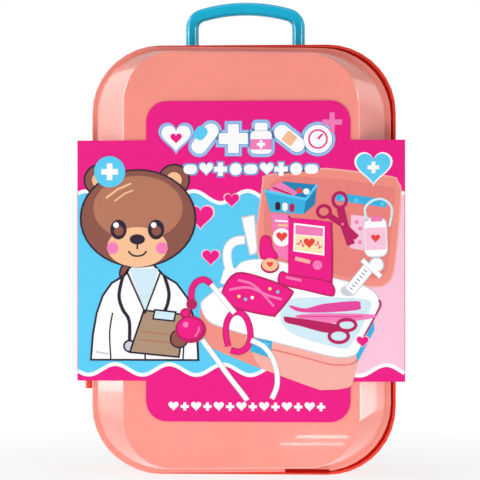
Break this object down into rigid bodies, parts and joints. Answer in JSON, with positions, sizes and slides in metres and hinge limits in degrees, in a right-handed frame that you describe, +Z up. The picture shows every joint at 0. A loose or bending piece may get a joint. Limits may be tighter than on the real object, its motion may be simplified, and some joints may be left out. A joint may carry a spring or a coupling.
{
  "type": "toy doctor case",
  "caption": "Upright clamshell toy case in a card sleeve, with a side-hinged lid, latch, folding carry handle and a tray of toy medical tools.",
  "frame": {"origin": "middle of the base, on the surface that the case stands on", "axes": "+Z up, the lid and its sleeve panel face -Y, the hinge is at -X and the latch at +X"},
  "size_m": [0.2544, 0.1024, 0.3747],
  "materials": {
    "lid_peach": "moulded, glossy, slightly see-through",
    "tub_coral": "moulded, glossy, slightly see-through",
    "cyan": "moulded, glossy",
    "white": "moulded, satin",
    "pink": "moulded, glossy",
    "pink_light": "moulded, glossy",
    "clear": "moulded, clear",
    "screen": "glossy",
    "card": "printed card, satin",
    "paper": "matt",
    "steel": "drawn wire"
  },
  "bodies": {
    "tub": {"tub_shell": "tub_coral", "hinge_pin_lower": "steel", "hinge_pin_upper": "steel", "latch_pin": "steel", "handle_pin_left": "steel", "handle_pin_right": "steel", "tray": "white", "monitor_body": "pink", "monitor_screen": "screen", "stethoscope_frame": "pink", "ear_tip_left": "white", "ear_tip_right": "white", "stethoscope_hose": "white", "stethoscope_chest_piece": "pink", "syringe_barrel": "clear", "scissors_rear_half": "pink", "scissors_rivet": "white", "hammer_head": "pink_light", "hammer_shaft": "white", "tweezers": "pink_light", "scalpel": "pink", "thermometer": "white", "scope_handle": "white", "scope_head": "pink_light", "gauge_body": "pink", "gauge_dial": "white", "gauge_needle": "tub_coral", "gauge_bulb": "pink", "gauge_hose": "white", "medicine_bottle": "pink_light", "bottle_cap": "white"},
    "lid": {"lid_shell": "lid_peach", "tool_basket": "cyan", "bandage_roll": "paper", "plaster_box": "paper", "hook_rail": "cyan", "drip_bottle": "clear", "name_badge": "paper"},
    "latch": {"latch": "cyan"},
    "handle": {"carry_handle": "cyan"},
    "sleeve_front": {"card_sleeve_front": "card"},
    "sleeve_rear": {"card_sleeve_rear": "card"},
    "scissors_front": {"scissors_front_half": "pink"},
    "plunger": {"syringe_plunger": "pink"}
  },
  "joints": [
    {"name": "lid_hinge", "type": "hinge", "parent": "tub", "child": "lid", "pos_m": [-0.1224, -0.015, 0.1695], "axis": [0, 0, -1], "range_deg": [0, 105]},
    {"name": "latch_pivot", "type": "hinge", "parent": "tub", "child": "latch", "pos_m": [0.1215, -0.0025, 0.1695], "axis": [0, 0, 1], "range_deg": [0, 110]},
    {"name": "handle_fold", "type": "hinge", "parent": "tub", "child": "handle", "pos_m": [0, 0.008, 0.335], "axis": [-1, 0, 0], "range_deg": [0, 90]},
    {"name": "sleeve_slide", "type": "slide", "parent": "lid", "child": "sleeve_front", "axis": [0, 0, 1], "range_m": [0, 0.34]},
    {"name": "sleeve_rear_slide", "type": "slide", "parent": "tub", "child": "sleeve_rear", "axis": [0, 0, 1], "range_m": [0, 0.34]},
    {"name": "scissors_pivot", "type": "hinge", "parent": "tub", "child": "scissors_front", "pos_m": [-0.04125, -0.0125, 0.08632], "axis": [0, -1, 0], "range_deg": [0, 30]},
    {"name": "plunger_slide", "type": "slide", "parent": "tub", "child": "plunger", "axis": [0, 0, 1], "range_m": [0, 0.03]}
  ],
  "couplings": [
    {"joint": "sleeve_rear_slide", "follows": "sleeve_slide", "ratio": 1}
  ]
}
